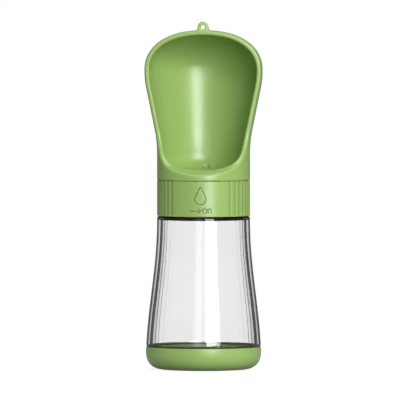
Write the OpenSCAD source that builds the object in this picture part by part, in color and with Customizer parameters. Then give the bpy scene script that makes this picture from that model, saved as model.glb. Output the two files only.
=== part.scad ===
// Travel water bottle for a dog: a clear bottle with a screw-on base, a twist band that carries
// the valve, and a drinking scoop that swivels on the band.
// Millimetres. +Z is up, the scoop opens towards -Y, and the origin is the centre of the foot.

/* [Base cap] */
// Outside radius of the base cap
base_r = 40.9; // [38:0.1:50]
// Height of the base cap
base_h = 16.1; // [14:0.1:24]
// Wall of the base cap round the bottle
base_wall = 2.2; // [1.6:0.1:2.6]
// Thickness of the base cap's floor
base_floor = 2.6; // [1.8:0.1:4]
// Width of the rounded lower corner, measured along the radius
base_corner_w = 13.9; // [10:0.1:16]
// Height of the rounded lower corner
base_corner_h = 13; // [10:0.1:14]
// Depth of the hollow under the foot
foot_hollow = 0.6; // [0.3:0.1:1]

/* [Bottle] */
// Height of the clear body between base cap and shoulder
body_h = 91.8; // [75:0.1:140]
// Wall of the clear body
body_wall = 2.6; // [2:0.1:3]
// Number of flat facets inside the body
facets = 24; // [20:2:32]
// Length of the spigot that goes into the base cap
spigot_h = 9.8; // [8:0.1:10.4]
// Wall of the spigot
spigot_wall = 2.3; // [1.8:0.1:3]
// Wall of the neck
neck_wall = 1.8; // [1.5:0.1:2.4]
// Radius of the rounded shoulder
shoulder_round = 1.2; // [0.6:0.1:1.5]

/* [Twist band] */
// Outside radius of the band, which is also that of the shoulder and the scoop's foot
band_r = 33; // [30:0.1:38]
// Height of the band
band_h = 25.2; // [22:0.1:34]
// Wall of the band outside its thread
band_wall = 2.3; // [2:0.1:3]
// Thickness of the deck across the band
deck_t = 2.8; // [2.4:0.1:4]
// Height of the band's rim above the deck
rim_h = 3.5; // [3:0.1:5]
// Half of the plain front panel, as an angle
panel_half = 39; // [38:1:60]
// Number of grip grooves round the rest of the band
grooves = 37; // [15:1:45]
// Radius of a grip groove's cutter
groove_r = 1.6; // [1.2:0.1:2]
// Depth of a grip groove
groove_depth = 0.45; // [0.2:0.05:0.6]

/* [Scoop] */
// Largest outside radius of the scoop
scoop_r = 42; // [38:0.1:50]
// Height of the widest level above the scoop's foot
scoop_widest_h = 77.5; // [66:0.1:110]
// Height of the dome above the widest level
dome_h = 28.8; // [22:0.1:40]
// Wall of the scoop
scoop_wall = 3; // [2.4:0.1:3.4]
// Thickness of the bowl's floor
scoop_floor = 3.5; // [3:0.1:5]
// Radius between the bowl's floor and its wall
bowl_round = 14.8; // [8:0.1:14.8]
// Angle at which the scoop flares
flare_angle = 11.5; // [11:0.5:16]
// Distance of the rim's upright part in front of the axis
rim_front = 8.5; // [0:0.5:16]
// Slope of the drinking lip
lip_slope = 27; // [20:1:35]
// Height of the lip above the scoop's foot, at the front
lip_h = 3.9; // [3:0.1:8]
// Radius between the lip and the upright rim
lip_blend = 32; // [20:1:40]

/* [Lug] */
// Outside radius of the hanging lug
lug_r = 3.9; // [3:0.1:6]
// Diameter of the hole in the lug
lug_hole_d = 3.2; // [2:0.1:4]
// Thickness of the lug
lug_t = 3.2; // [2:0.1:5]
// Height of the hole above the dome
lug_rise = 2.2; // [1:0.1:4]
// Distance of the lug in front of the axis
lug_front = 5; // [0:0.5:8]

/* [Scoop's foot] */
// Height of the ring that centres the seat plate in the scoop's foot
seat_ring_h = 1.5; // [1:0.1:2.5]
// Width of that ring
seat_ring_w = 1.6; // [1.2:0.1:2]
// Depth to which the port's boss reaches into the seat plate
port_key_h = 0.8; // [0.5:0.1:1.2]
// Wall of the port's boss
port_boss_wall = 1.6; // [1.2:0.1:2]
// Number of ribs in the hollow of the foot
foot_ribs = 12; // [6:1:24]
// Thickness of a rib
foot_rib_t = 1.6; // [1:0.1:2]

/* [Valve] */
// Width of the water port, measured across the scoop
port_w = 5; // [3:0.1:7]
// Length of the water port, measured along the radius
port_d = 2.4; // [2:0.1:3]
// Angle between shut and on
valve_turn = 60; // [40:5:65]
// Thickness of the silicone valve seal
valve_seal_t = 1.4; // [1:0.1:2]
// Thickness of the gasket on the neck's lip
neck_gasket_t = 1.6; // [1:0.1:2.4]
// Thickness of the ring between bottle and base cap
base_seal_t = 0.9; // [0.6:0.1:1.5]
// Radius of the pivot boss under the scoop
pivot_r = 6; // [5:0.1:8]
// Diameter of the pivot screw
screw_d = 3; // [2.5:0.1:4]

/* [Clearances] */
// Radial clearance of the pivot in its hub
pivot_gap = 0.05; // [0.02:0.01:0.1]
// Gap round a piece that is pressed into another
fit_gap = 0.1; // [0.05:0.05:0.2]
// Gap between parts that move past each other
move_gap = 0.2; // [0.15:0.05:0.4]
// Radial room left for the thread between neck and band
neck_thread = 0.9; // [0.8:0.05:1.2]
// Radial room left for the thread between spigot and base cap
base_thread = 1.1; // [0.9:0.05:1.4]

/* [Hidden] */
$fn = 96;

green = "#8cc152";
clear = [0.85, 0.9, 0.92, 0.35];
silicone = "#5a5f5a";
steel = "silver";

tiny = 1;                 // how far a cutter runs past the face it opens
dome_power = 2.25;        // superellipse of the scoop's dome
corner_power = 2.5;       // superellipse of the base cap's corner
edge = 0.4;               // small chamfer on moulded edges
curve_steps = 10;         // flats along one arc of a profile

// Heights, from the foot upwards
body_z = base_h + base_seal_t;
shoulder_z = body_z + body_h;
band_z = shoulder_z + 1.5 * move_gap;
band_top = band_z + band_h;
deck_top = band_top - rim_h;
deck_z = deck_top - deck_t;
neck_top = deck_z - neck_gasket_t;
scoop_z = band_top + move_gap;
plate_z = deck_top + valve_seal_t;
bowl_z = scoop_z + scoop_floor;
widest_z = scoop_z + scoop_widest_h;
apex_z = widest_z + dome_h;
lug_z = apex_z + lug_rise;

// Radii, from the outside inwards
spigot_room_r = base_r - base_wall;
spigot_r = spigot_room_r - base_thread;
spigot_bore_r = spigot_r - spigot_wall;
spigot_z = body_z - spigot_h;
base_inner_round = 7;     // radius inside the base cap, between its floor and its wall
spigot_tip_gap = 0.6;     // what the spigot's lower end leaves free at that radius
band_bore_r = band_r - band_wall;
neck_r = band_bore_r - neck_thread;
neck_bore_r = neck_r - neck_wall;
port_land = 0.5;          // deck left between the port and the bore of the neck
port_r = neck_bore_r - port_land - port_d / 2;
port_angle = 90;          // the port lies behind the axis

// Body of the bottle: a cosine curve that starts at the shoulder and is cut off at the foot
foot_r = base_r - 0.2;
flare_top_z = shoulder_z - 2.8;
flare_used = 0.865;       // share of the half wave that lies above the foot
flare_len = (flare_top_z - body_z) / flare_used;
flare_full = (foot_r - band_r) * 2 / (1 - cos(180 * flare_used));
body_steps = 20;

// Scoop: blends at the foot and at the top of its flare. Where the scoop is hardly wider than the
// band, the two blends meet before they reach the flare's full angle.
foot_blend = 85;
top_blend = 60;
blends = foot_blend + top_blend;
flare = min(flare_angle, acos(1 - (scoop_r - band_r) / blends));
flare_foot_z = widest_z - blends * sin(flare)
             - (scoop_r - band_r - blends * (1 - cos(flare))) / tan(flare);

// Hollow of the scoop's foot, between its skirt and the underside of the bowl
core_r = band_r - scoop_wall;
core_low = 1.1;           // height of the hollow at its inner edge
bowl_round_r = band_r - scoop_wall - bowl_round;
underside_r = bowl_round + scoop_floor;

// Valve
plate_r = band_bore_r - 2.5 * move_gap;
valve_seal_r = plate_r - 0.8;
valve_seal_w = 7.8;
hub_wall = 2.5;
hub_h = 5.8;
hub_r = pivot_r + pivot_gap + hub_wall;
hub_z = deck_top - hub_h;
boss_z = hub_z - move_gap;
ring_d = 1.2;             // section of the O-ring on the pivot
ring_z = deck_top - deck_t;
washer_r = hub_r + 0.5;
washer_t = 1;
screw_head_r = screw_d * 1.15;
screw_head_h = screw_d * 0.7;
screw_l = 8;
screw_gap = 0.05;
stop_angle = -90 + valve_turn / 2;
stop_half = 4;            // half of the stop's width, as an angle
stop_r = plate_r + 1.3;
stop_gap_angle = 0.6;

// An arc as points: centre c, radius r, from angle a0 to angle a1
function arc(c, r, a0, a1, n = curve_steps) =
    [for (i = [0 : n]) let (a = a0 + (a1 - a0) * i / n) c + r * [cos(a), sin(a)]];

// A quarter of a superellipse round c, from angle a0 to angle a1
function super_arc(c, w, h, power, a0, a1, n) =
    [for (i = [0 : n])
        let (a = a0 + (a1 - a0) * i / n, u = max(cos(a), 0), v = abs(sin(a)))
        c + [w * pow(u, 2 / power), sign(sin(a)) * h * pow(v, 2 / power)]];

function body_out(z) =
    band_r + flare_full * (1 - cos(180 * max(0, flare_top_z - z) / flare_len)) / 2;

// Radius of the room inside the base cap at height z
function room_r(z) =
    spigot_room_r - base_inner_round
    + sqrt(pow(base_inner_round, 2) - pow(max(0, base_floor + base_inner_round - z), 2));

// The spigot's lower end: a small chamfer, or a long one where the cap's round corner is in its way
spigot_tip_r = min(spigot_r - edge, room_r(spigot_z) - spigot_tip_gap);
spigot_tip_z = spigot_tip_r < spigot_r - edge ? base_floor + base_inner_round : spigot_z + edge;

// The inside follows the outside one wall in, and never grows wider than the spigot's bore, so
// that the core can be drawn out of the foot
function body_in(z) = min(body_out(z) - body_wall, spigot_bore_r);

// ---- Base cap ----

module base_cap() {
    corner = [base_r - base_corner_w, base_corner_h];
    color(green)
    difference() {
        rotate_extrude()
            polygon(concat(
                [[0, 0]],
                super_arc(corner, base_corner_w, base_corner_h, corner_power, -90, 0, 16),
                [[base_r, base_h - edge], [base_r - edge, base_h], [0, base_h]]));
        rotate_extrude()
            polygon(concat(
                [[0, base_floor]],
                arc([spigot_room_r - base_inner_round, base_floor + base_inner_round],
                    base_inner_round, -90, 0),
                [[spigot_room_r, base_h + tiny], [0, base_h + tiny]]));
        foot_recess();
    }
}

// A shallow hollow under the foot, so that the part stands on a ring
module foot_recess() {
    recess_r = base_r - base_corner_w - 4;
    rotate_extrude()
        polygon([[0, -tiny], [recess_r + tiny, -tiny], [recess_r, 0],
                 [recess_r - foot_hollow, foot_hollow], [0, foot_hollow]]);
}

module base_seal() {
    color(silicone)
    translate([0, 0, base_h])
    difference() {
        cylinder(h = base_seal_t, r = foot_r - edge);
        translate([0, 0, -tiny]) cylinder(h = base_seal_t + 2 * tiny, r = spigot_r + 0.15);
    }
}

// ---- Bottle ----

module bottle() {
    color(clear)
    difference() {
        bottle_outside();
        facetted_hollow();
        translate([0, 0, spigot_z - tiny]) cylinder(h = spigot_h + 2 * tiny, r = spigot_bore_r);
        translate([0, 0, shoulder_z - 4])
            cylinder(h = neck_top - shoulder_z + 4 + tiny, r = neck_bore_r);
    }
}

module bottle_outside() {
    side_top = shoulder_z - shoulder_round;
    rotate_extrude()
        polygon(concat(
            [[0, spigot_z], [spigot_tip_r, spigot_z], [spigot_r, spigot_tip_z], [spigot_r, body_z]],
            [for (i = [0 : body_steps])
                let (z = body_z + (side_top - body_z) * i / body_steps) [body_out(z), z]],
            arc([band_r - shoulder_round, side_top], shoulder_round, 15, 90, 5),
            [[neck_r, shoulder_z], [neck_r, neck_top - edge], [neck_r - edge, neck_top],
             [0, neck_top]]));
}

// The hollow of the body: flat strips that all bulge to the same profile
module facetted_hollow() {
    low = body_z - tiny;
    high = shoulder_z - 6;
    steps = 12;
    side = [for (i = [0 : steps]) let (z = low + (high - low) * i / steps) [body_in(z), z]];
    throat = [[neck_bore_r, shoulder_z - 3], [neck_bore_r, shoulder_z]];
    half = concat(side, throat);
    count = len(half);
    intersection_for(i = [0 : facets / 2 - 1])
        rotate(i * 360 / facets)
        rotate([90, 0, 0])
        linear_extrude(height = 3 * base_r, center = true)
            polygon(concat(half, [for (k = [count - 1 : -1 : 0]) [-half[k][0], half[k][1]]]));
}

// ---- Neck gasket and twist band ----

module neck_gasket() {
    color(silicone)
    translate([0, 0, neck_top])
    difference() {
        cylinder(h = neck_gasket_t, r = band_bore_r - 2 * move_gap);
        translate([0, 0, -tiny]) cylinder(h = neck_gasket_t + 2 * tiny, r = neck_bore_r);
    }
}

module twist_band() {
    color(green)
    difference() {
        union() {
            band_ring();
            translate([0, 0, hub_z]) cylinder(h = hub_h, r = hub_r);
        }
        translate([0, 0, hub_z - tiny]) cylinder(h = hub_h + 2 * tiny, r = pivot_r + pivot_gap);
        rotate(-valve_turn) water_port(deck_z - tiny, deck_top + tiny);
        stop_track();
        grip_grooves();
    }
}

module band_ring() {
    rotate_extrude()
        polygon([[0, deck_z], [band_bore_r, deck_z], [band_bore_r, band_z + edge],
                 [band_bore_r + edge, band_z], [band_r - edge, band_z], [band_r, band_z + edge],
                 [band_r, band_top - edge], [band_r - edge, band_top], [band_bore_r, band_top],
                 [band_bore_r, deck_top], [0, deck_top]]);
}

// The slot in the rim that the scoop's stop runs in: its two ends are shut and on
module stop_track() {
    swing = stop_half + stop_gap_angle;
    translate([0, 0, plate_z - move_gap])
        ring_sector(stop_r + move_gap, stop_angle - valve_turn - swing, stop_angle + swing, rim_h);
}

module grip_grooves() {
    pitch = (360 - 2 * panel_half) / (grooves - 1);
    for (i = [0 : grooves - 1])
        rotate(-90 + panel_half + i * pitch)
            translate([band_r + groove_r - groove_depth, 0, band_z + 1])
                cylinder(h = band_h, r = groove_r, $fn = 32);
}

// A wedge of a disc of radius r between two angles
module ring_sector(r, a0, a1, h) {
    linear_extrude(height = h)
        polygon(concat([[0, 0]], arc([0, 0], r, a0, a1, 12)));
}

// ---- Parts that turn with the scoop ----

module valve_seal() {
    color(silicone)
    translate([0, 0, deck_top])
    difference() {
        cylinder(h = valve_seal_t, r = valve_seal_r);
        translate([0, 0, -tiny])
            cylinder(h = valve_seal_t + 2 * tiny, r = valve_seal_r - valve_seal_w);
        water_port(-tiny, valve_seal_t + tiny);
    }
}

// The upright slot that the water runs through, or with grow the wall round it
module water_port(z0, z1, grow = 0) {
    side = (port_w - port_d) / 2;
    r = port_d / 2 + grow;
    rotate(port_angle) translate([port_r, 0, z0])
    linear_extrude(height = z1 - z0)
        polygon(concat(arc([0, side], r, 0, 180), arc([0, -side], r, 180, 360)));
}

module pivot_seal() {
    color(silicone)
    rotate_extrude()
        translate([pivot_r - 0.1 - ring_d / 2, ring_z]) circle(d = ring_d, $fn = 24);
}

module pivot_washer() {
    color(steel)
    translate([0, 0, boss_z - washer_t])
    difference() {
        cylinder(h = washer_t, r = washer_r);
        translate([0, 0, -tiny]) cylinder(h = washer_t + 2 * tiny, d = screw_d + 0.4);
    }
}

module pivot_screw() {
    head_z = boss_z - washer_t - screw_head_h;
    color(steel)
    difference() {
        union() {
            rotate_extrude()
                polygon([[0, head_z], [screw_head_r - 0.6, head_z], [screw_head_r, head_z + 0.6],
                         [screw_head_r, head_z + screw_head_h], [0, head_z + screw_head_h]]);
            translate([0, 0, head_z]) cylinder(h = screw_head_h + washer_t + screw_l, d = screw_d);
        }
        for (a = [0, 90])
            rotate(a) translate([-screw_d / 2, -0.4, head_z - tiny]) cube([screw_d, 0.8, tiny + 1]);
    }
}

// ---- Scoop ----

// The scoop's side from the foot's radius up to the apex, moved inwards by inset
function scoop_side(inset) = concat(
    arc([band_r + foot_blend, flare_foot_z], foot_blend + inset, 180, 180 - flare, 6),
    arc([scoop_r - top_blend, widest_z], top_blend - inset, -flare, 0, 5),
    super_arc([0, widest_z], scoop_r - inset, dome_h - inset, dome_power, 6, 90, 16));

module trough() {
    color(green)
    difference() {
        union() {
            difference() {
                scoop_outside();
                scoop_inside();
                scoop_opening();
                foot_core();
            }
            lug();
            water_port(scoop_z - port_key_h, scoop_z + core_low, port_boss_wall);
            translate([0, 0, boss_z]) cylinder(h = scoop_z - boss_z, r = pivot_r);
        }
        translate([0, -lug_front, lug_z]) rotate([90, 0, 0])
            cylinder(h = lug_t + 2 * tiny, d = lug_hole_d, center = true);
        water_port(scoop_z - port_key_h - tiny, bowl_z + bowl_round);
        translate([0, 0, boss_z - tiny]) cylinder(h = screw_l + 1.5 * tiny, d = screw_d + 2 * screw_gap);
        seal_groove();
    }
}

module scoop_outside() {
    rotate_extrude()
        polygon(concat([[0, scoop_z], [band_r - edge, scoop_z], [band_r, scoop_z + edge]],
                       scoop_side(0)));
}

module scoop_inside() {
    rotate_extrude()
        polygon(concat(
            [[0, bowl_z]],
            arc([bowl_round_r, bowl_z + bowl_round], bowl_round, -90, 0),
            scoop_side(scoop_wall)));
}

// Everything in front of the rim: an upright plane, one arc and the sloping lip
module scoop_opening() {
    far = 2 * scoop_r;
    lip_z = scoop_z + lip_h;
    run = band_r - rim_front - lip_blend * (1 - sin(lip_slope));
    centre_z = lip_z + run * tan(lip_slope) + lip_blend * cos(lip_slope);
    rotate([90, 0, 90])
    linear_extrude(height = 3 * scoop_r, center = true)
        polygon(concat(
            [[-far, lip_z - (far - band_r) * tan(lip_slope)]],
            arc([-rim_front - lip_blend, centre_z], lip_blend, lip_slope - 90, 0, 12),
            [[-rim_front, apex_z + far], [-far, apex_z + far]]));
}

module lug() {
    foot_w = lug_r + 1.2;
    translate([0, -lug_front, lug_z])
    rotate([90, 0, 0])
    linear_extrude(height = lug_t, center = true) {
        circle(r = lug_r);
        polygon([[-lug_r, 0], [lug_r, 0], [lug_r, -0.8], [foot_w, -lug_rise - 1],
                 [-foot_w, -lug_rise - 1], [-lug_r, -0.8]]);
    }
}

// The hollow that keeps the foot's walls even, the lip's too. Its ribs and the port's boss are
// left standing.
module foot_core() {
    lip_drop = scoop_wall / cos(lip_slope);
    round_z = bowl_z + bowl_round;
    inner = -asin(1 - core_low / underside_r);
    outer = -acos((core_r - bowl_round_r) / underside_r);
    inner_r = bowl_round_r + underside_r * cos(inner);
    rib_z = scoop_z + seat_ring_h + move_gap;
    difference() {
        rotate_extrude()
            polygon(concat([[inner_r, scoop_z - tiny]],
                           arc([bowl_round_r, round_z], underside_r, inner, outer),
                           [[core_r, scoop_z - tiny]]));
        for (i = [0 : foot_ribs - 1])
            rotate(port_angle + (i + 0.5) * 360 / foot_ribs)
                translate([0, -foot_rib_t / 2, rib_z]) cube([band_r, foot_rib_t, bowl_round]);
        water_port(scoop_z - 2 * tiny, round_z, port_boss_wall);
        translate([0, 0, -lip_drop]) scoop_opening();
    }
}

// The round plate in the scoop's foot that presses on the valve seal. The port's boss keys it to
// the scoop, and its stop runs in the band's rim.
module seat_plate() {
    ring_r = core_r - fit_gap;
    color(green)
    difference() {
        union() {
            translate([0, 0, plate_z]) {
                cylinder(h = scoop_z - plate_z, r = plate_r);
                ring_sector(stop_r, stop_angle - stop_half, stop_angle + stop_half, scoop_z - plate_z);
            }
            rotate_extrude()
                polygon([[ring_r - seat_ring_w, scoop_z - tiny], [ring_r, scoop_z - tiny],
                         [ring_r, scoop_z + seat_ring_h - edge], [ring_r - edge, scoop_z + seat_ring_h],
                         [ring_r - seat_ring_w, scoop_z + seat_ring_h]]);
        }
        translate([0, 0, plate_z - tiny])
            cylinder(h = scoop_z - plate_z + 2 * tiny, r = pivot_r + fit_gap);
        water_port(plate_z - tiny, scoop_z);
        water_port(scoop_z - port_key_h, scoop_z + seat_ring_h + tiny, port_boss_wall + fit_gap);
    }
}

module seal_groove() {
    room = 0.2;
    translate([0, 0, ring_z - ring_d / 2 - room])
    difference() {
        cylinder(h = ring_d + 2 * room, r = pivot_r + tiny);
        translate([0, 0, -tiny])
            cylinder(h = ring_d + 2 * room + 2 * tiny, r = pivot_r - 0.1 - ring_d);
    }
}

base_cap();
base_seal();
bottle();
neck_gasket();
twist_band();
valve_seal();
pivot_seal();
pivot_washer();
pivot_screw();
seat_plate();
trough();
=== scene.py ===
"""Looks of the travel water bottle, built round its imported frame.

Lengths are in millimetres until a mesh is made, and +Z is up. The scoop opens towards -Y.
"""

import math

import bpy
import numpy as np
import openvdb
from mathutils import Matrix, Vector


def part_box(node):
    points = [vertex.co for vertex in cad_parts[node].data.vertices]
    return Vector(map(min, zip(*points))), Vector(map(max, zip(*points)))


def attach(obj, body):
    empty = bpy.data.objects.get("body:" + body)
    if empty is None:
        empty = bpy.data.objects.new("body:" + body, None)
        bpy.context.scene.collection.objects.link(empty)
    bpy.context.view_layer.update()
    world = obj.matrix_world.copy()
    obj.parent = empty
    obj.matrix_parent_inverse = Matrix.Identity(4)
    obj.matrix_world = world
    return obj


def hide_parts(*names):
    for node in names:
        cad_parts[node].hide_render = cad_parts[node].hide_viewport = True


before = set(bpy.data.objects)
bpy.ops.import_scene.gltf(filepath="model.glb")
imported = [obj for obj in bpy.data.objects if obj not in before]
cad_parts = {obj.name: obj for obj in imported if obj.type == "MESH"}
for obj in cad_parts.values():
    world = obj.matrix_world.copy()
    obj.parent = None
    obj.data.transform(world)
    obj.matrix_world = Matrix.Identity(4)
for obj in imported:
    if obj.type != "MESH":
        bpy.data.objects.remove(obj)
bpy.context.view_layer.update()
MM = 0.001


def low(node, axis=2):
    """Lowest coordinate of a CAD node along an axis, in millimetres."""
    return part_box(node)[0][axis] / MM


def high(node, axis=2):
    """Highest coordinate of a CAD node along an axis, in millimetres."""
    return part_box(node)[1][axis] / MM


# ---------------------------------------------------------------- sizes, from the frame

base_r = high("base_cap", 0)
base_top = high("base_cap")
body_low = high("base_seal")
spigot_low = low("bottle")
neck_top = high("bottle")
band_low = low("twist_band")
band_top = high("twist_band")
band_r = high("twist_band", 0)
gasket_top = high("neck_gasket")
deck_top = low("valve_seal")
plate_low = high("valve_seal")
boss_low = low("trough")
scoop_low = band_top + 0.2
scoop_r = high("trough", 0)
lug_top = high("trough")

shoulder_z = band_low - 0.3

# ---------------------------------------------------------------- mesh helpers


def mesh_object(name, verts, faces, material, smooth_angle=None):
    """An object of that mesh, in metres, smooth apart from edges sharper than smooth_angle."""
    mesh = bpy.data.meshes.new(name)
    mesh.from_pydata((np.asarray(verts, dtype=float) * MM).tolist(), [], faces)
    mesh.validate()
    mesh.update()
    obj = bpy.data.objects.new(name, mesh)
    bpy.context.scene.collection.objects.link(obj)
    mesh.materials.append(material)
    for poly in mesh.polygons:
        poly.use_smooth = True
    if smooth_angle is not None:
        mesh.set_sharp_from_angle(angle=math.radians(smooth_angle))
    return obj


def mark_points(obj, name, measure):
    """A value at each point of a mesh, worked out from its place in millimetres."""
    mesh = obj.data
    points = np.empty(3 * len(mesh.vertices))
    mesh.vertices.foreach_get("co", points)
    values = measure(points.reshape(-1, 3) / MM)
    mesh.attributes.new(name, "FLOAT", "POINT").data.foreach_set("value", values.astype(np.float32))


def ring_grid(radius, height, angles):
    """Points and faces of a closed tube: radius[row][column] and height[row], over angles in degrees."""
    rows, cols = radius.shape
    turn = np.radians(angles)
    x = radius * np.cos(turn)[None, :]
    y = radius * np.sin(turn)[None, :]
    z = np.broadcast_to(np.asarray(height)[:, None], radius.shape)
    verts = np.stack([x, y, z], axis=-1).reshape(-1, 3)
    row, col = np.meshgrid(np.arange(rows), np.arange(cols), indexing="ij")
    below = (row + 1) % rows
    right = (col + 1) % cols
    corners = [row * cols + col, row * cols + right, below * cols + right, below * cols + col]
    faces = np.stack(corners, axis=-1)
    return verts, faces.reshape(-1, 4)


def arc(centre, radius, start, end, steps):
    """Points of an arc in a profile, angles in degrees."""
    turn = np.radians(np.linspace(start, end, steps + 1))
    return [(centre[0] + radius * math.cos(t), centre[1] + radius * math.sin(t)) for t in turn]


def line(start, end, steps):
    """Points along a straight stretch of a profile, without its first."""
    share = np.linspace(0, 1, steps + 1)[1:]
    return [(start[0] + (end[0] - start[0]) * s, start[1] + (end[1] - start[1]) * s) for s in share]


def smoothstep(low_edge, high_edge, value):
    """0 below low_edge, 1 above high_edge and smooth between them."""
    t = np.clip((value - low_edge) / (high_edge - low_edge), 0, 1)
    return t * t * (3 - 2 * t)


# ---------------------------------------------------------------- materials


class Shader:
    """A material with a few short ways to add nodes to it."""

    def __init__(self, name):
        self.material = bpy.data.materials.new(name)
        self.material.use_nodes = True
        self.nodes = self.material.node_tree.nodes
        self.links = self.material.node_tree.links
        self.surface = self.nodes["Principled BSDF"]
        self.output = self.nodes["Material Output"]

    def add(self, kind, **values):
        node = self.nodes.new(kind)
        for key, value in values.items():
            if hasattr(node, key):
                setattr(node, key, value)
            else:
                node.inputs[key.replace("_", " ")].default_value = value
        return node

    def set(self, **values):
        for key, value in values.items():
            self.surface.inputs[key.replace("_", " ")].default_value = value

    def link(self, source, target):
        self.links.new(source, target)

    def ramp(self, source, stops):
        node = self.nodes.new("ShaderNodeValToRGB")
        while len(node.color_ramp.elements) < len(stops):
            node.color_ramp.elements.new(0.5)
        for element, (place, colour) in zip(node.color_ramp.elements, stops):
            element.position = place
            element.color = (*colour, 1) if len(colour) == 3 else colour
        self.link(source, node.inputs[0])
        return node.outputs[0]

    def multiply(self, first, second):
        node = self.add("ShaderNodeMix", data_type="RGBA", blend_type="MULTIPLY")
        factor, a, b = node.inputs[0], node.inputs[6], node.inputs[7]
        factor.default_value = 1.0
        self.link(first, a)
        self.link(second, b)
        return node.outputs[2]

    def noise(self, scale, detail=2.0, roughness=0.5):
        place = self.add("ShaderNodeTexCoord")
        node = self.add("ShaderNodeTexNoise")
        node.inputs["Scale"].default_value = scale
        node.inputs["Detail"].default_value = detail
        node.inputs["Roughness"].default_value = roughness
        self.link(place.outputs["Object"], node.inputs["Vector"])
        return node.outputs["Fac"]

    def drift(self, socket, scale, detail, first, second):
        """The socket wanders between two shades over the object."""
        shades = [(0.3, first), (0.7, second)]
        self.link(self.ramp(self.noise(scale, detail), shades), self.surface.inputs[socket])

    def bump(self, source, distance, strength):
        node = self.add("ShaderNodeBump")
        node.inputs["Distance"].default_value = distance
        node.inputs["Strength"].default_value = strength
        self.link(source, node.inputs["Height"])
        self.link(node.outputs["Normal"], self.surface.inputs["Normal"])


def grey(value):
    """The same value in red, green and blue."""
    return (value, value, value)


def green_plastic():
    """Satin moulded plastic: a faint drift in colour and gloss, a very fine grain, painted shade in the
    grip grooves and the water port, and darker legend strokes.
    """
    s = Shader("green_plastic")
    deep = (0.275, 0.421, 0.117)
    pale = (0.285, 0.435, 0.122)
    plain = s.ramp(s.noise(28, 3), [(0.3, deep), (0.7, pale)])
    # painted shade in the grooves and the port's walls, and the darker legend strokes, from a mark on
    # the mesh
    painted_shade_and_legend = s.add("ShaderNodeAttribute", attribute_name="painted_shade_and_legend")
    shade = s.ramp(painted_shade_and_legend.outputs["Fac"], [(0.0, grey(1.0)), (1.0, grey(0.45))])
    s.link(s.multiply(plain, shade), s.surface.inputs["Base Color"])
    s.drift("Roughness", 90, 2, grey(0.285), grey(0.31))
    s.bump(s.noise(2600, 2), 0.00001, 0.25)
    s.set(IOR=1.6)
    return s.material


def clear_plastic():
    """Clear moulded plastic. Its colour holds painted shade: it darkens where it is seen edge on, along
    the ridges between the facets, and at the shoulder and the foot, in place of the dark edges and lines
    that bent light gives."""
    s = Shader("clear_plastic")
    # painted shade where the plastic is seen edge on and along the ridges between the facets
    facing = s.add("ShaderNodeLayerWeight", Blend=0.5)
    ridge = s.add("ShaderNodeAttribute", attribute_name="ridge")
    steep = s.add("ShaderNodeMath", operation="MULTIPLY_ADD")
    steep.inputs[1].default_value = 0.24
    s.link(ridge.outputs["Fac"], steep.inputs[0])
    s.link(facing.outputs["Facing"], steep.inputs[2])
    edge_on_shade = s.ramp(steep.outputs[0], [
        (0.0, grey(0.97)), (0.5, grey(0.96)), (0.64, grey(0.89)), (0.71, grey(0.55)), (0.76, grey(0.10)),
        (0.80, grey(0.01)), (1.0, grey(0.0)),
    ])
    place = s.add("ShaderNodeTexCoord")
    split = s.add("ShaderNodeSeparateXYZ")
    s.link(place.outputs["Object"], split.inputs[0])

    def fade(dark_z, clear_z, darkest):
        """A grey that goes from darkest at one height to white at another."""
        node = s.add("ShaderNodeMapRange")
        node.inputs["From Min"].default_value = dark_z * MM
        node.inputs["From Max"].default_value = clear_z * MM
        node.inputs["To Min"].default_value = darkest
        s.link(split.outputs["Z"], node.inputs["Value"])
        return node.outputs["Result"]

    # painted shade: the plastic goes near black from the shoulder up and to 0.6 grey from the foot down
    foot_painted_shade = fade(body_low + 0.2, body_low + 0.4, 0.6)
    shoulder_painted_shade = fade(shoulder_z - 2.2, shoulder_z - 2.6, 0.01)
    painted_rings = s.multiply(foot_painted_shade, shoulder_painted_shade)
    s.link(s.multiply(edge_on_shade, painted_rings), s.surface.inputs["Base Color"])
    s.set(IOR=1.0, Roughness=0.0)
    s.surface.inputs["Transmission Weight"].default_value = 1.0
    s.surface.inputs["Coat Weight"].default_value = 1.0
    s.surface.inputs["Coat IOR"].default_value = 1.5
    s.surface.inputs["Coat Roughness"].default_value = 0.025
    # Light that falls through the clear walls loses a little at each
    path = s.add("ShaderNodeLightPath")
    through = s.add("ShaderNodeBsdfTransparent", Color=(0.9, 0.9, 0.9, 1))
    mix = s.add("ShaderNodeMixShader")
    s.link(path.outputs["Is Shadow Ray"], mix.inputs[0])
    s.link(s.surface.outputs[0], mix.inputs[1])
    s.link(through.outputs[0], mix.inputs[2])
    s.link(mix.outputs[0], s.output.inputs["Surface"])
    return s.material


def seal_silicone():
    """Soft dark silicone."""
    s = Shader("seal_silicone")
    s.drift("Base Color", 120, 3, (0.022, 0.026, 0.022), (0.035, 0.04, 0.034))
    s.drift("Roughness", 300, 2, grey(0.5), grey(0.62))
    s.bump(s.noise(1800, 2), 0.00001, 0.3)
    return s.material


def stainless():
    """Plain stainless steel."""
    s = Shader("stainless")
    s.drift("Base Color", 400, 3, (0.52, 0.52, 0.51), (0.66, 0.66, 0.65))
    s.drift("Roughness", 900, 2, grey(0.24), grey(0.36))
    s.set(Metallic=1.0)
    return s.material


GREEN = green_plastic()
CLEAR = clear_plastic()
SILICONE = seal_silicone()
STEEL = stainless()

# ---------------------------------------------------------------- distance fields for the scoop


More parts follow.
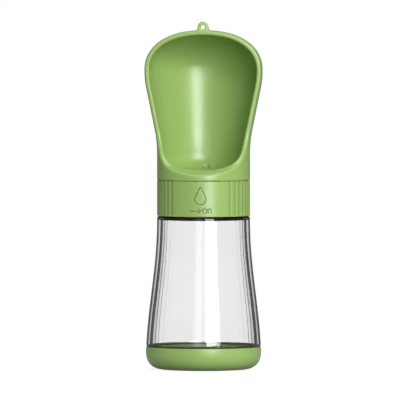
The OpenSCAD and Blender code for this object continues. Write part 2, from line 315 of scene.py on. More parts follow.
class Outline:
    """A closed outline as a table of signed distances, negative inside."""

    STEP = 0.2                # between the table's points
    MARGIN = 6.0              # how far the table reaches past the outline

    def __init__(self, points):
        self.low = np.min(points, axis=0) - self.MARGIN
        size = np.max(points, axis=0) + self.MARGIN - self.low
        counts = np.ceil(size / self.STEP).astype(int) + 1
        a = self.low[0] + self.STEP * np.arange(counts[0])
        b = self.low[1] + self.STEP * np.arange(counts[1])
        self.table = self.measure(points, *np.meshgrid(a, b, indexing="ij"))

    @staticmethod
    def measure(points, a, b):
        nearest = np.full(a.shape, 1e9)
        inside = np.zeros(a.shape, bool)
        for (x0, y0), (x1, y1) in zip(points, points[1:] + points[:1]):
            ex, ey = x1 - x0, y1 - y0
            length = ex * ex + ey * ey
            if length < 1e-12:
                continue
            share = np.clip(((a - x0) * ex + (b - y0) * ey) / length, 0, 1)
            nearest = np.minimum(nearest, (a - x0 - ex * share) ** 2 + (b - y0 - ey * share) ** 2)
            if ey:
                inside ^= ((y0 > b) != (y1 > b)) & (a < ex * (b - y0) / ey + x0)
        return np.where(inside, -1, 1) * np.sqrt(nearest)

    def __call__(self, a, b):
        u = np.clip((a - self.low[0]) / self.STEP, 0, self.table.shape[0] - 1.001)
        v = np.clip((b - self.low[1]) / self.STEP, 0, self.table.shape[1] - 1.001)
        i, j = u.astype(int), v.astype(int)
        u, v = u - i, v - j
        t = self.table
        below = t[i, j] * (1 - u) + t[i + 1, j] * u
        above = t[i, j + 1] * (1 - u) + t[i + 1, j + 1] * u
        return below * (1 - v) + above * v


def both_sides(points):
    """A profile with its mirror image about the axis, so that the axis is no edge."""
    return list(points) + [(-x, z) for x, z in reversed(points)]


def cut_round(a, b, radius):
    """Where both fields are inside, with the edge between them rounded."""
    corner = np.hypot(np.maximum(a + radius, 0), np.maximum(b + radius, 0))
    return np.minimum(-radius, np.maximum(a, b)) + corner


def join_soft(a, b, width):
    """Where either field is inside, with a fillet between them."""
    near = np.maximum(width - np.abs(a - b), 0) / width
    return np.minimum(a, b) - near * near * width / 4


# ---------------------------------------------------------------- scoop

SCOOP_WALL = 3.0
SCOOP_FLOOR = 3.5             # from the foot to the lowest point of the bowl
WIDEST = scoop_low + 77.5     # height of the widest point
DOME = 28.8                   # from there to the apex
APEX = WIDEST + DOME
FLARE = 11.5                  # lean of the side's straight stretch, in degrees
FOOT_BLEND, TOP_BLEND = 85, 60    # radii of the curves below and above that stretch
DOME_POWER = 2.25             # 2 is an ellipse, more is squarer
BOWL_ROUND = 14.8             # between the bowl's floor and its wall
RIM_FRONT = 8.5               # from the axis forward to the plane of the rim
LIP_SLOPE = 27                # fall of the lip below the mouth, in degrees
LIP_HEIGHT = 3.9              # from the foot to the lip's front edge
LIP_BLEND = 32                # radius of the curve from the lip up to the rim
LUG_R, LUG_T, LUG_FRONT = 3.9, 3.2, 5.0    # radius, thickness, and from the axis forward to its middle
LUG_Z = APEX + 2.2
LUG_HOLE_R = 1.6
PORT_R, PORT_SIDE, PORT_Y = 1.2, 1.3, 26.3     # the oval port: end radius, half its straight, place
PORT_BOSS_WALL, PORT_KEY = 1.6, 0.8    # the boss round the port, and how far it goes into the seat plate
PIVOT_R = 6.0
CORE_LOW = 1.1                # least height of the hollow in the foot
FOOT_RIBS, FOOT_RIB_T = 12, 1.6
SEAT_RING = 1.5               # height of the seat plate's ring, which the ribs leave free


def superellipse(width, height, centre_z, steps):
    """The dome's side, from the widest point up to the axis."""
    power = 2 / DOME_POWER
    turn = np.radians(np.linspace(0, 90, steps + 1))[:-1]
    side = [(width * math.cos(t) ** power, centre_z + height * math.sin(t) ** power) for t in turn]
    return side + [(0, centre_z + height)]


def scoop_side(inset):
    """The scoop's side from its foot to its apex, moved inwards by inset."""
    turn = math.radians(FLARE)
    blends = FOOT_BLEND + TOP_BLEND
    climb = (scoop_r - band_r - blends * (1 - math.cos(turn))) / math.tan(turn)
    foot = WIDEST - blends * math.sin(turn) - climb
    return (
        arc((band_r + FOOT_BLEND, foot), FOOT_BLEND + inset, 180, 180 - FLARE, 24)
        + arc((scoop_r - TOP_BLEND, WIDEST), TOP_BLEND - inset, -FLARE, 0, 16)[:-1]
        + superellipse(scoop_r - inset, DOME - inset, WIDEST, 60)
    )


def scoop_outlines():
    """The scoop's outside and inside as profiles, and the air in front of its rim from the side."""
    edge = 0.5
    bowl_r = band_r - SCOOP_WALL - BOWL_ROUND
    floor = scoop_low + SCOOP_FLOOR
    outside = (
        [(band_r - edge, scoop_low)]
        + arc((band_r - edge, scoop_low + edge), edge, -90, 0, 5)
        + scoop_side(0)
    )
    inside = (
        [(bowl_r, floor)]
        + arc((bowl_r, floor + BOWL_ROUND), BOWL_ROUND, -90, 0, 30)
        + scoop_side(SCOOP_WALL)
    )
    lip = scoop_low + LIP_HEIGHT
    slope = math.radians(LIP_SLOPE)
    run = band_r - RIM_FRONT - LIP_BLEND * (1 - math.sin(slope))
    centre = (-RIM_FRONT - LIP_BLEND, lip + run * math.tan(slope) + LIP_BLEND * math.cos(slope))
    far = 2 * scoop_r
    air = (
        [(-far, lip - (far - band_r) * math.tan(slope))]
        + arc(centre, LIP_BLEND, LIP_SLOPE - 90, 0, 40)
        + [(-RIM_FRONT, APEX + 30), (-far, APEX + 30)]
    )
    return Outline(both_sides(outside)), Outline(both_sides(inside)), Outline(air)


def lug_outline():
    """The lug seen from the front, with a foot that widens into the dome."""
    foot = LUG_R + 1.2
    deep = APEX - 1.0
    right = arc((0, LUG_Z), LUG_R, 90, 0, 20) + [(LUG_R, LUG_Z - 0.8), (foot, deep)]
    return Outline(right + [(-x, z) for x, z in reversed(right[1:])])


def core_outline():
    """The hollow of the foot, between its skirt and the underside of the bowl."""
    core_r = band_r - SCOOP_WALL
    centre = (core_r - BOWL_ROUND, scoop_low + SCOOP_FLOOR + BOWL_ROUND)
    radius = BOWL_ROUND + SCOOP_FLOOR
    first = -math.degrees(math.asin(1 - CORE_LOW / radius))
    last = -math.degrees(math.acos(BOWL_ROUND / radius))
    roof = arc(centre, radius, first, last, 20)
    return Outline([(roof[0][0], scoop_low - 3)] + roof + [(core_r, scoop_low - 3)])


def port_distance(x, y):
    """Distance from the middle line of the oval water port."""
    return np.hypot(np.maximum(np.abs(x) - PORT_SIDE, 0), y - PORT_Y)


def port_painted_shade(points):
    """0.25 of painted shade on the walls of the water port, and 0 elsewhere."""
    x, y, z = points.T
    wall = (z > scoop_low) & (z < scoop_low + 15)
    return np.where(wall, 0.25 - 0.25 * smoothstep(PORT_R, PORT_R + 0.15, port_distance(x, y)), 0)


def rib_distance(x, y, z):
    """The ribs in the hollow of the foot, as a field."""
    pitch = 2 * math.pi / FOOT_RIBS
    turn = np.mod(np.arctan2(y, x) - math.pi / 2, pitch) - pitch / 2
    across = np.abs(np.hypot(x, y) * np.sin(turn)) - FOOT_RIB_T / 2
    return np.maximum(across, scoop_low + SEAT_RING + 0.2 - z)


def scoop_field():
    """A function of x, y and z: the distance to the scoop's surface, negative inside it."""
    outside, inside, air = scoop_outlines()
    lug, core = lug_outline(), core_outline()
    lip_drop = SCOOP_WALL / math.cos(math.radians(LIP_SLOPE))
    rim_round, lug_round, hole_round, port_round = 1.0, 0.7, 0.4, 0.4

    def field(x, y, z):
        r = np.hypot(x, y)
        shell = np.maximum(outside(r, z), -inside(r, z))
        body = cut_round(shell, -air(y, z), rim_round)
        tab = cut_round(lug(x, z), np.abs(y + LUG_FRONT) - LUG_T / 2, lug_round)
        body = join_soft(body, tab, 1.6)
        port = port_distance(x, y)
        port_boss = port - PORT_R - PORT_BOSS_WALL
        hollow = np.maximum(core(r, z), -np.minimum(port_boss, rib_distance(x, y, z)))
        hollow = np.maximum(hollow, -air(y, z + lip_drop))
        body = np.maximum(body, -hollow)
        key = np.maximum(port_boss, np.maximum(scoop_low - PORT_KEY - z, z - scoop_low - 1))
        boss = np.maximum(r - PIVOT_R, np.maximum(boss_low - z, z - scoop_low - 1))
        body = np.minimum(np.minimum(body, key), boss)
        hole = LUG_HOLE_R - np.hypot(x, z - LUG_Z)
        body = cut_round(body, hole, hole_round)
        mouth = np.minimum(PORT_R - port, scoop_low + 20 - z)
        return cut_round(body, mouth, port_round)

    return field


def surface_of(field, lowest, highest, step):
    """Points and faces of a field's zero surface, with the points pulled exactly onto it."""
    counts = np.ceil((np.asarray(highest) - lowest) / step).astype(int) + 1
    axes = [lowest[i] + step * np.arange(counts[i]) for i in range(3)]
    values = np.empty(tuple(counts), dtype=np.float32)
    for k, z in enumerate(axes[2]):
        x, y = np.meshgrid(axes[0], axes[1], indexing="ij")
        values[:, :, k] = field(x, y, np.full_like(x, z))
    grid = openvdb.FloatGrid(3.0 * step)
    grid.copyFromArray(np.clip(values, -3 * step, 3 * step))
    points, triangles, quads = grid.convertToPolygons(isovalue=0.0, adaptivity=0.0)
    points = points.astype(float) * step + np.asarray(lowest)
    reaches = 0.05 * np.eye(3)
    for _ in range(2):
        value = field(*points.T)
        rises = [field(*(points + reach).T) - field(*(points - reach).T) for reach in reaches]
        slope = np.stack(rises, axis=1)
        slope /= np.maximum(np.linalg.norm(slope, axis=1, keepdims=True), 1e-9)
        points -= np.clip(value, -step / 2, step / 2)[:, None] * slope
    return points, [tuple(reversed(f)) for f in triangles.tolist() + quads.tolist()]


def make_scoop():
    """The scoop, from its distance field."""
    step = 0.5
    margin = 2.0
    lowest = (-scoop_r - margin, low("trough", 1) - margin, boss_low - margin)
    highest = (scoop_r + margin, high("trough", 1) + margin, lug_top + margin)
    points, faces = surface_of(scoop_field(), lowest, highest, step)
    scoop = mesh_object("scoop", points, faces, GREEN)
    # painted shade on the walls of the water port
    mark_points(scoop, "painted_shade_and_legend", port_painted_shade)
    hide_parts("trough")
    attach(scoop, "scoop")


# ---------------------------------------------------------------- twist band

BAND_WALL = 2.3
DECK_LOW = gasket_top
GROOVES = 37
PANEL_HALF = 39               # half the angle of the plain panel between the first and the last groove
GROOVE_R, GROOVE_DEPTH = 1.6, 0.45
STOP_LOW = plate_low - 0.2
HUB_R, HUB_BORE_R, HUB_LOW = 8.55, 6.05, boss_low + 0.2
LEGEND_DEPTH = 0.25
LEGEND_HALF = 0.34            # half the width of a carved stroke
STOP_R = 31.7                 # the slot in the rim that the seat plate's stop runs in
STOP_FIRST, STOP_LAST = -34.6, 34.6
VALVE_TURN = 60               # from shut to on, in degrees
THREAD_LEAD, THREAD_STARTS = 8.0, 2


def stroke(x, z, ax, az, bx, bz):
    """Distance from a point on the panel to a straight stroke."""
    ex, ez = bx - ax, bz - az
    share = np.clip(((x - ax) * ex + (z - az) * ez) / (ex * ex + ez * ez), 0, 1)
    return np.hypot(x - ax - ex * share, z - az - ez * share)


def bow(x, z, cx, cz, radius, upper=False):
    """Distance to a circle, or to its upper half."""
    away = np.abs(np.hypot(x - cx, z - cz) - radius)
    if upper:
        ends = np.minimum(np.hypot(x - cx - radius, z - cz), np.hypot(x - cx + radius, z - cz))
        away = np.where(z >= cz, away, ends)
    return away


def drop(x, z, cx, cz, radius, height):
    """Distance to the outline of a plain water drop: a circle with a pointed top."""
    tip = cz + height
    lean = math.acos(radius / height)
    touch_x, touch_z = radius * math.sin(lean), cz + radius * math.cos(lean)
    round_part = np.where(z <= touch_z, bow(x, z, cx, cz, radius), 1e3)
    sides = stroke(np.abs(x - cx), z, touch_x, touch_z, 0.0, tip)
    return np.minimum(round_part, sides)


def legend(x, z):
    """How far a point of the front panel is from the nearest engraved stroke."""
    word_z = band_low + 4.2
    half = 1.55
    marks = [
        stroke(x, z, -7.4, word_z, 0.2, word_z),
        stroke(x, z, -1.7, word_z + 1.5, 0.2, word_z),
        stroke(x, z, -1.7, word_z - 1.5, 0.2, word_z),
        bow(x, z, 3.0, word_z, half),
        stroke(x, z, 5.6, word_z - half, 5.6, word_z + half),
        bow(x, z, 6.7, word_z + half - 1.1, 1.1, upper=True),
        stroke(x, z, 7.8, word_z - half, 7.8, word_z + half - 1.1),
        drop(x, z, 0.0, band_low + 12.6, 4.0, 8.6),
    ]
    return np.minimum.reduce(marks)


def engraving(x, z):
    """1 in a carved stroke of the legend, 0 outside it."""
    return 1 - smoothstep(LEGEND_HALF - 0.12, LEGEND_HALF + 0.12, legend(x, z))


def band_shade_and_legend(points):
    """How far the band is darkened: 1 in the legend's strokes, up to 0.5 of painted shade in the
    grooves, and 0 elsewhere.
    """
    x, y, z = points.T
    outside = np.hypot(x, y) > band_r - 1
    turned = np.arctan2(x, -y)
    mark = np.where(y < 0, engraving(turned * band_r, z), 0)
    # painted shade in the grip grooves, deepest at their middle
    grooves = np.where(z > band_low + 1.2, 0.5 * groove_depth(np.degrees(turned)) / GROOVE_DEPTH, 0)
    return np.where(outside, np.maximum(mark, grooves), 0)


def groove_depth(angle):
    """Depth of the grip grooves at an angle from the front, in degrees."""
    pitch = (360 - 2 * PANEL_HALF) / (GROOVES - 1)
    turned = np.mod(angle, 360)
    share = (turned - PANEL_HALF) / pitch
    off = (share - np.clip(np.round(share), 0, GROOVES - 1)) * pitch
    across = np.radians(off) * band_r
    return np.maximum(np.sqrt(np.maximum(GROOVE_R**2 - across**2, 0)) - (GROOVE_R - GROOVE_DEPTH), 0)


def band_columns():
    """Angles from the front: close together on the legend, wider elsewhere."""
    fine = 0.22
    panel = np.arange(-15, 15, fine)
    rest = np.arange(15, 345, 0.75)
    return np.concatenate([panel, rest])


def make_band():
    """The band: one profile turned round, with its grooves, legend, rim slot, thread and port."""
    angles = band_columns()
    edge = 0.5
    side = line((band_r, band_low + edge), (band_r, band_top - edge), 170)
    bore_r = band_r - BAND_WALL
    thread_rows = line((bore_r, DECK_LOW), (bore_r, band_low + edge), 70)
    profile = (
        arc((band_r - edge, band_low + edge), edge, -90, 0, 5)
        + side
        + arc((band_r - edge, band_top - edge), edge, 0, 90, 5)[1:]
        + [(bore_r + 0.3, band_top), (bore_r, band_top - 0.3)]
        + [(bore_r, STOP_LOW), (bore_r, STOP_LOW - 0.05)]
        + [(bore_r, deck_top + 0.2), (bore_r - 0.2, deck_top)]
        + [(HUB_BORE_R + 0.3, deck_top), (HUB_BORE_R, deck_top - 0.3)]
        + [(HUB_BORE_R, HUB_LOW + 0.2), (HUB_BORE_R + 0.2, HUB_LOW)]
        + [(HUB_R - 0.3, HUB_LOW), (HUB_R, HUB_LOW + 0.3)]
        + [(HUB_R, DECK_LOW - 0.4), (HUB_R + 0.4, DECK_LOW)]
        + [(bore_r - 0.4, DECK_LOW)]
        + thread_rows
        + [(bore_r + edge, band_low)]
    )
    radius = np.repeat(np.array([p[0] for p in profile])[:, None], len(angles), axis=1)
    height = np.array([p[1] for p in profile])
    outer = (radius[:, 0] > band_r - edge - 0.01) & (height >= band_low)
    # The grooves stop short of the lower edge and run out of the upper one
    reach = smoothstep(band_low + 0.8, band_low + 1.6, height)[:, None]
    carved = groove_depth(angles)[None, :] * reach
    turned = np.where(angles > 180, angles - 360, angles)
    across = np.broadcast_to(np.radians(turned)[None, :] * band_r, radius.shape)
    carved = carved + LEGEND_DEPTH * engraving(across, np.broadcast_to(height[:, None], radius.shape))
    radius = radius - np.where(outer[:, None], carved, 0)
    # The slot in the rim: its two ends are shut and on
    rim = (np.abs(radius[:, 0] - bore_r) < 0.31) & (height > STOP_LOW - 0.01)
    slot = (turned > STOP_FIRST) & (turned < STOP_LAST)
    radius = np.where(rim[:, None] & slot[None, :], STOP_R, radius)
    bore = (np.abs(radius[:, 0] - bore_r) < 0.01) & (height < DECK_LOW - 0.5)
    radius = add_thread(radius, bore, -0.75, angles, height, band_low + 4, DECK_LOW - 4, 2.0)
    verts, faces = ring_grid(radius, height, angles - 90)
    band = mesh_object("band", verts, faces.tolist(), GREEN, 40)
    bore_port(band)
    # painted shade in the grooves, and the darker legend strokes
    mark_points(band, "painted_shade_and_legend", band_shade_and_legend)
    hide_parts("twist_band")
    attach(band, "band")


def thread(angles, height, low_end, high_end, shift):
    """Height of a right-hand thread's ridge, from 0 to 1, over angles and heights."""
    pitch = THREAD_LEAD / THREAD_STARTS
    climb = np.asarray(height)[:, None] - THREAD_LEAD * np.asarray(angles)[None, :] / 360 - shift
    off = np.abs(np.mod(climb + pitch / 2, pitch) - pitch / 2)
    ridge = 1 - smoothstep(0.45, 0.95, off)
    start = smoothstep(low_end - 0.8, low_end, height)
    end = 1 - smoothstep(high_end, high_end + 0.8, height)
    return ridge * (start * end)[:, None]


def add_thread(radius, rows, depth, angles, height, low_end, high_end, shift):
    """The radius with a thread on those rows, inwards where the depth is negative."""
    ridge = thread(angles, height, low_end, high_end, shift)
    return radius + np.where(rows[:, None], depth * ridge, 0)


def bore_port(band):
    """The water port through the deck, which lines up with the scoop's when the valve is on."""
    rim = arc((PORT_SIDE, PORT_Y), PORT_R, -90, 90, 20) + arc((-PORT_SIDE, PORT_Y), PORT_R, 90, 270, 20)
    count = len(rim)
    verts = [(x, y, z) for z in (DECK_LOW - 4, deck_top + 4) for x, y in rim]
    walls = [(i, (i + 1) % count, count + (i + 1) % count, count + i) for i in range(count)]
    caps = [tuple(reversed(range(count))), tuple(range(count, 2 * count))]
    cutter = mesh_object("port_cutter", verts, walls + caps, GREEN)
    cutter.rotation_euler.z = math.radians(-VALVE_TURN)
    apply_boolean(band, cutter)


def apply_boolean(obj, cutter):
    """The object without what the cutter covers. The cutter goes."""
    modifier = obj.modifiers.new("cut", "BOOLEAN")
    modifier.object = cutter
    modifier.operation = "DIFFERENCE"
    modifier.solver = "EXACT"
    bpy.context.view_layer.update()
    done = bpy.data.meshes.new_from_object(obj.evaluated_get(bpy.context.evaluated_depsgraph_get()))
    obj.modifiers.clear()
    obj.data = done
    bpy.data.objects.remove(cutter)


# ---------------------------------------------------------------- bottle

FACETS = 24
BODY_WALL = 2.6
SPIGOT_R, SPIGOT_BORE_R = 37.6, 35.3
NECK_R, NECK_BORE_R = 29.8, 28.0
FLARE_TOP = shoulder_z - 2.8
FLARE_USED = 0.865            # how much of the cosine's half wave the flare takes
FOOT_R = base_r - 0.2
INNER_TOP = shoulder_z - 2.9
INNER_CORNER = 0.5
LEDGE = body_low + 0.7        # where the inside steps in to the spigot's bore
LEDGE_DROP = 0.55
RIDGE_HALF = 1.9              # half the angle over which a ridge between two facets is rounded


def body_radius(z):
    """Outside radius of the clear body: a cosine curve cut off at the foot."""
    length = (FLARE_TOP - body_low) / FLARE_USED
    full = (FOOT_R - band_r) * 2 / (1 - math.cos(math.pi * FLARE_USED))
    return band_r + full * (1 - math.cos(math.pi * max(0, FLARE_TOP - z) / length)) / 2


def inside_radius(z):
    """Inside radius of the clear body, at the middle of a facet."""
    return body_radius(z) - BODY_WALL


def facet_columns():
    """Angles round the bottle, close together at the ridges between the facets."""
    pitch = 360 / FACETS
    steps = np.array([0, 0.5, 1.0, RIDGE_HALF, 3.0, 4.5, 6.0])
    offsets = np.concatenate([steps, [pitch / 2], pitch - steps[:0:-1]])
    return np.concatenate([pitch * (i + 0.5) + offsets for i in range(FACETS)])


def ridge_shade_share(points):
    """How much painted shade lies on the ridges between the facets inside the body: 1 on them, 0 on the
    facets.
    """
    x, y, z = points.T
    pitch = 360 / FACETS
    turn = np.degrees(np.arctan2(y, x)) + 90
    off = np.abs(np.mod(turn, pitch) - pitch / 2)
    inside = np.hypot(x, y) < np.vectorize(body_radius)(z) - 0.6 * BODY_WALL
    level = (z > body_low) & (z < shoulder_z - 2.5)
    return np.where(inside & level, 1 - smoothstep(0.8, RIDGE_HALF, off), 0)


def make_bottle():
    """The clear bottle: one profile turned round, with flat facets inside and its two threads."""
    edge, round_r = 0.4, 1.4
    angles = facet_columns()
    side_top = shoulder_z - round_r
    outside = [(body_radius(z), z) for z in np.linspace(body_low + edge, side_top, 70)]
    inside = [(inside_radius(z), z) for z in np.linspace(INNER_TOP, LEDGE, 60)]
    ledge_r = inside_radius(LEDGE)
    step_in = SPIGOT_BORE_R - ledge_r
    shelf = [(ledge_r + step_in * s, LEDGE - LEDGE_DROP * s ** 2) for s in np.linspace(0.25, 1, 4)]
    corner = (inside_radius(INNER_TOP) - INNER_CORNER, INNER_TOP)
    throat = [(NECK_BORE_R, shoulder_z - 2.1), (NECK_BORE_R + 0.25, shoulder_z - 2.35)]
    throat += arc(corner, INNER_CORNER, 90, 0, 6)[:-1]
    mouth = [
        (SPIGOT_BORE_R, body_low),
        (SPIGOT_BORE_R, spigot_low + edge),
        (SPIGOT_BORE_R + edge, spigot_low),
    ]
    profile = (
        [(SPIGOT_R - edge, spigot_low), (SPIGOT_R, spigot_low + edge)]
        + line((SPIGOT_R, spigot_low + edge), (SPIGOT_R, body_low - 0.2), 40)
        + [(SPIGOT_R + 0.2, body_low), (FOOT_R - edge, body_low), (FOOT_R - 0.12, body_low + 0.12)]
        + outside
        + arc((band_r - round_r, side_top), round_r, 12, 90, 8)
        + [(NECK_R + 0.4, shoulder_z), (NECK_R, shoulder_z + 0.4)]
        + line((NECK_R, shoulder_z + 0.4), (NECK_R, neck_top - edge), 70)
        + [(NECK_R - edge, neck_top), (NECK_BORE_R + edge, neck_top), (NECK_BORE_R, neck_top - edge)]
        + throat
        + inside
        + shelf
        + mouth
    )
    base = np.array([p[0] for p in profile])
    height = np.array([p[1] for p in profile])
    radius = np.repeat(base[:, None], len(angles), axis=1)
    # Flat facets inside the body, with their ridges a little rounded
    half = 180 / FACETS
    off = np.mod(angles + half, 2 * half) - half
    facet = 1 / np.cos(np.radians(off)) - 1
    index = np.arange(len(profile), dtype=float)
    last = len(profile) - len(mouth) - len(shelf) - 1
    first = last + 1 - len(inside)
    flat = smoothstep(-5, 1, index - first) * (1 - smoothstep(0, 3, index - last))
    radius = radius * (1 + flat[:, None] * facet[None, :])
    neck = (np.abs(base - NECK_R) < 0.01) & (height > shoulder_z + 0.5)
    radius = add_thread(radius, neck, 0.6, angles, height, band_low + 4, neck_top - 3, 0.0)
    spigot = (np.abs(base - SPIGOT_R) < 0.01) & (height < body_low - 0.3)
    radius = add_thread(radius, spigot, 0.75, angles, height, spigot_low + 1.6, body_low - 1.6, 0.0)
    verts, faces = ring_grid(radius, height, angles - 90)
    bottle = mesh_object("clear_bottle", verts, faces.tolist(), CLEAR, 30)
    # painted shade along the ridges between the facets
    mark_points(bottle, "ridge", ridge_shade_share)
    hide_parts("bottle")
    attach(bottle, "bottle")


# ---------------------------------------------------------------- base cap

BASE_WALL, BASE_FLOOR = 2.2, 2.6
CORNER_W, CORNER_H, CORNER_POWER = 13.9, 13.0, 2.5    # the round corner, a superellipse
FOOT_HOLLOW = 0.6             # height of the hollow under the base


def make_base():
    """The base cap: one profile turned round, with its thread."""
    angles = np.arange(0, 360, 1.5)
    edge = 0.5
    power = 2 / CORNER_POWER
    turn = np.radians(np.linspace(-90, 0, 40))
    across = [base_r - CORNER_W + CORNER_W * abs(math.cos(t)) ** power for t in turn]
    up = [CORNER_H - CORNER_H * abs(math.sin(t)) ** power for t in turn]
    room_r = base_r - BASE_WALL
    hollow_r = base_r - CORNER_W - 4
    inner_round = 7.0
    profile = (
        [(0.3, FOOT_HOLLOW), (hollow_r - 1.6, FOOT_HOLLOW), (hollow_r - 0.7, FOOT_HOLLOW - 0.15)]
        + [(hollow_r, 0.1), (hollow_r + 0.4, 0.0)]
        + list(zip(across, up))
        + arc((base_r - edge, base_top - edge), edge, 0, 90, 6)
        + [(room_r + 0.3, base_top), (room_r, base_top - 0.3)]
        + line((room_r, base_top - 0.3), (room_r, BASE_FLOOR + inner_round), 30)
        + arc((room_r - inner_round, BASE_FLOOR + inner_round), inner_round, 0, -90, 12)[1:]
        + [(0.3, BASE_FLOOR)]
    )
    base = np.array([p[0] for p in profile])
    height = np.array([p[1] for p in profile])
    radius = np.repeat(base[:, None], len(angles), axis=1)
    bore = (np.abs(base - room_r) < 0.01) & (height < base_top - 0.5)
    thread_low = BASE_FLOOR + inner_round - 0.5
    radius = add_thread(radius, bore, -0.75, angles, height, thread_low, base_top - 1.6, 2.0)
    verts, faces = ring_grid(radius, height, angles - 90)
    cap = mesh_object("base", verts, faces.tolist(), GREEN, 40)
    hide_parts("base_cap")
    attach(cap, "base")


make_scoop()
make_band()
make_bottle()
make_base()
for name, material in (
    ("base_seal", SILICONE),
    ("neck_gasket", SILICONE),
    ("valve_seal", SILICONE),
    ("pivot_seal", SILICONE),
    ("pivot_washer", STEEL),
    ("pivot_screw", STEEL),
    ("seat_plate", GREEN),
):
    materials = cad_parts[name].data.materials
    materials.clear()
    materials.append(material)

# ---------------------------------------------------------------- floor, lights and camera

SEEN_IN_GLOSS = 0.18          # how bright the white studio is in reflections
FILL = 0.03                   # how bright it is as light
FLOOR_HALF = 3.0
NEAR, FAR = 0.10, 0.45        # the floor's shadow fades out between these distances
LAMP_AWAY = 2.0
CAMERA_AWAY = 8.0


def stage_floor():
    """A pale floor that looks white to the camera but keeps the object's shadow."""
    s = Shader("floor")
    s.set(Roughness=0.9)
    s.surface.inputs["Specular IOR Level"].default_value = 0.0
    # Near the object the lamps make up what the glow leaves out, so that a shadow shows
    place = s.add("ShaderNodeTexCoord")
    away = s.add("ShaderNodeVectorMath", operation="LENGTH")
    s.link(place.outputs["Object"], away.inputs[0])
    reach = s.add("ShaderNodeMapRange", interpolation_type="SMOOTHSTEP")
    reach.inputs["From Min"].default_value = NEAR
    reach.inputs["From Max"].default_value = FAR
    reach.inputs["To Min"].default_value = 0.86
    reach.inputs["To Max"].default_value = 1.0
    s.link(away.outputs["Value"], reach.inputs["Value"])
    far = s.ramp(away.outputs["Value"], [(NEAR, grey(1.0)), (FAR, grey(0.02))])
    paint = s.ramp(s.noise(3, 2), [(0.3, grey(0.20)), (0.7, grey(0.22))])
    s.link(s.multiply(paint, far), s.surface.inputs["Base Color"])
    seen = seen_level(s.nodes, s.links)
    strength = s.add("ShaderNodeMath", operation="MULTIPLY")
    s.link(seen, strength.inputs[0])
    s.link(reach.outputs["Result"], strength.inputs[1])
    glow = s.add("ShaderNodeEmission", Color=(1, 1, 1, 1))
    s.link(strength.outputs[0], glow.inputs["Strength"])
    both = s.add("ShaderNodeAddShader")
    s.link(s.surface.outputs[0], both.inputs[0])
    s.link(glow.outputs[0], both.inputs[1])
    s.link(both.outputs[0], s.output.inputs["Surface"])
    corners = [(x * FLOOR_HALF, y * FLOOR_HALF, 0) for x, y in ((-1, -1), (1, -1), (1, 1), (-1, 1))]
    mesh = bpy.data.meshes.new("floor")
    mesh.from_pydata(corners, [], [(0, 1, 2, 3)])
    mesh.materials.append(s.material)
    floor = bpy.data.objects.new("floor", mesh)
    bpy.context.scene.collection.objects.link(floor)


def seen_level(nodes, links):
    """1 where the camera looks, straight or through glass, SEEN_IN_GLOSS in reflections and 0 for
    light that falls on things."""
    path = nodes.new("ShaderNodeLightPath")

    def combine(operation, first, second):
        node = nodes.new("ShaderNodeMath")
        node.operation = operation
        for value, socket in ((first, node.inputs[0]), (second, node.inputs[1])):
            if isinstance(value, float):
                socket.default_value = value
            else:
                links.new(value, socket)
        return node.outputs[0]

    straight = combine("MAXIMUM", path.outputs["Is Camera Ray"], path.outputs["Is Transmission Ray"])
    reflected = combine("GREATER_THAN", path.outputs["Glossy Depth"], 0.5)
    scattered = combine("GREATER_THAN", path.outputs["Diffuse Depth"], 0.5)
    mirrored = combine("MULTIPLY", reflected, SEEN_IN_GLOSS)
    direct = combine("MULTIPLY", straight, combine("SUBTRACT", 1.0, reflected))
    level = combine("MAXIMUM", direct, mirrored)
    return combine("MULTIPLY", level, combine("SUBTRACT", 1.0, scattered))


def white_world():
    """White to the camera and through glass, and a soft grey fill for everything else."""
    world = bpy.data.worlds.new("studio")
    bpy.context.scene.world = world
    world.use_nodes = True
    nodes, links = world.node_tree.nodes, world.node_tree.links
    background = nodes["Background"]
    background.inputs["Color"].default_value = (1, 1, 1, 1)
    level = nodes.new("ShaderNodeMath")
    level.operation = "MAXIMUM"
    level.inputs[1].default_value = FILL
    links.new(seen_level(nodes, links), level.inputs[0])
    links.new(level.outputs[0], background.inputs["Strength"])


def outwards(azimuth, elevation):
    """The direction from the object to a place round it. Azimuth 0 is in front, 90 to the right."""
    a, e = math.radians(azimuth), math.radians(elevation)
    return Vector((math.sin(a) * math.cos(e), -math.cos(a) * math.cos(e), math.sin(e)))


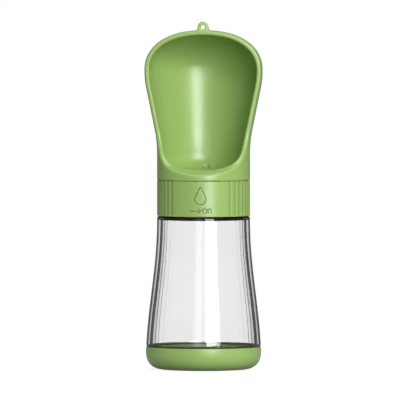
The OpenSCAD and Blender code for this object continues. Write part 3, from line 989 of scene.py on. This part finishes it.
def softbox(name, azimuth, elevation, width, height, power, in_gloss=True):
    """An area lamp that faces the object, seen in reflections only where in_gloss is set."""
    aim = Vector((0, 0, 0.12))
    place = aim + LAMP_AWAY * outwards(azimuth, elevation)
    lamp = bpy.data.lights.new(name, "AREA")
    lamp.shape = "RECTANGLE"
    lamp.size, lamp.size_y = width, height
    lamp.energy = power
    obj = bpy.data.objects.new(name, lamp)
    obj.location = place
    obj.rotation_euler = (aim - place).to_track_quat("-Z", "Y").to_euler()
    obj.visible_glossy = obj.visible_transmission = in_gloss
    bpy.context.scene.collection.objects.link(obj)


def photo_camera():
    """A long lens, a little to the right of the object's front and 2 degrees above it."""
    azimuth, elevation = 4.2, 2.0
    pixels = 416
    pixel_mm = 0.71           # size of one photo pixel at the object's axis
    axis_x = 203.54           # where the photo shows the object's axis
    foot_y = 369.3            # where the photo shows the foot's plane at the axis
    middle = pixels / 2
    right = Vector((math.cos(math.radians(azimuth)), math.sin(math.radians(azimuth)), 0))
    aim = right * (middle - axis_x) * pixel_mm * MM + Vector((0, 0, (foot_y - middle) * pixel_mm * MM))
    back = outwards(azimuth, elevation)
    data = bpy.data.cameras.new("photo_camera")
    data.sensor_width = 36
    data.lens = data.sensor_width * CAMERA_AWAY / (pixels * pixel_mm * MM)
    data.clip_end = 100
    camera = bpy.data.objects.new("photo_camera", data)
    camera.location = aim + back * CAMERA_AWAY
    camera.rotation_euler = (-back).to_track_quat("-Z", "Y").to_euler()
    bpy.context.scene.collection.objects.link(camera)
    bpy.context.scene.camera = camera


stage_floor()
white_world()
softbox("key", 19, 16, 0.78, 1.38, 35)
softbox("front", -6, 4, 0.4, 1.2, 2.4)
softbox("right_front", 42, 15, 0.7, 1.2, 14, in_gloss=False)
softbox("right", 88, 30, 0.7, 1.0, 7, in_gloss=False)
softbox("left", -98, 10, 0.7, 1.2, 16, in_gloss=False)
softbox("top", 0, 82, 1.0, 1.0, 12)
softbox("back", 180, 32, 0.9, 0.9, 20, in_gloss=False)
photo_camera()
bpy.context.scene.view_settings.view_transform = "Standard"
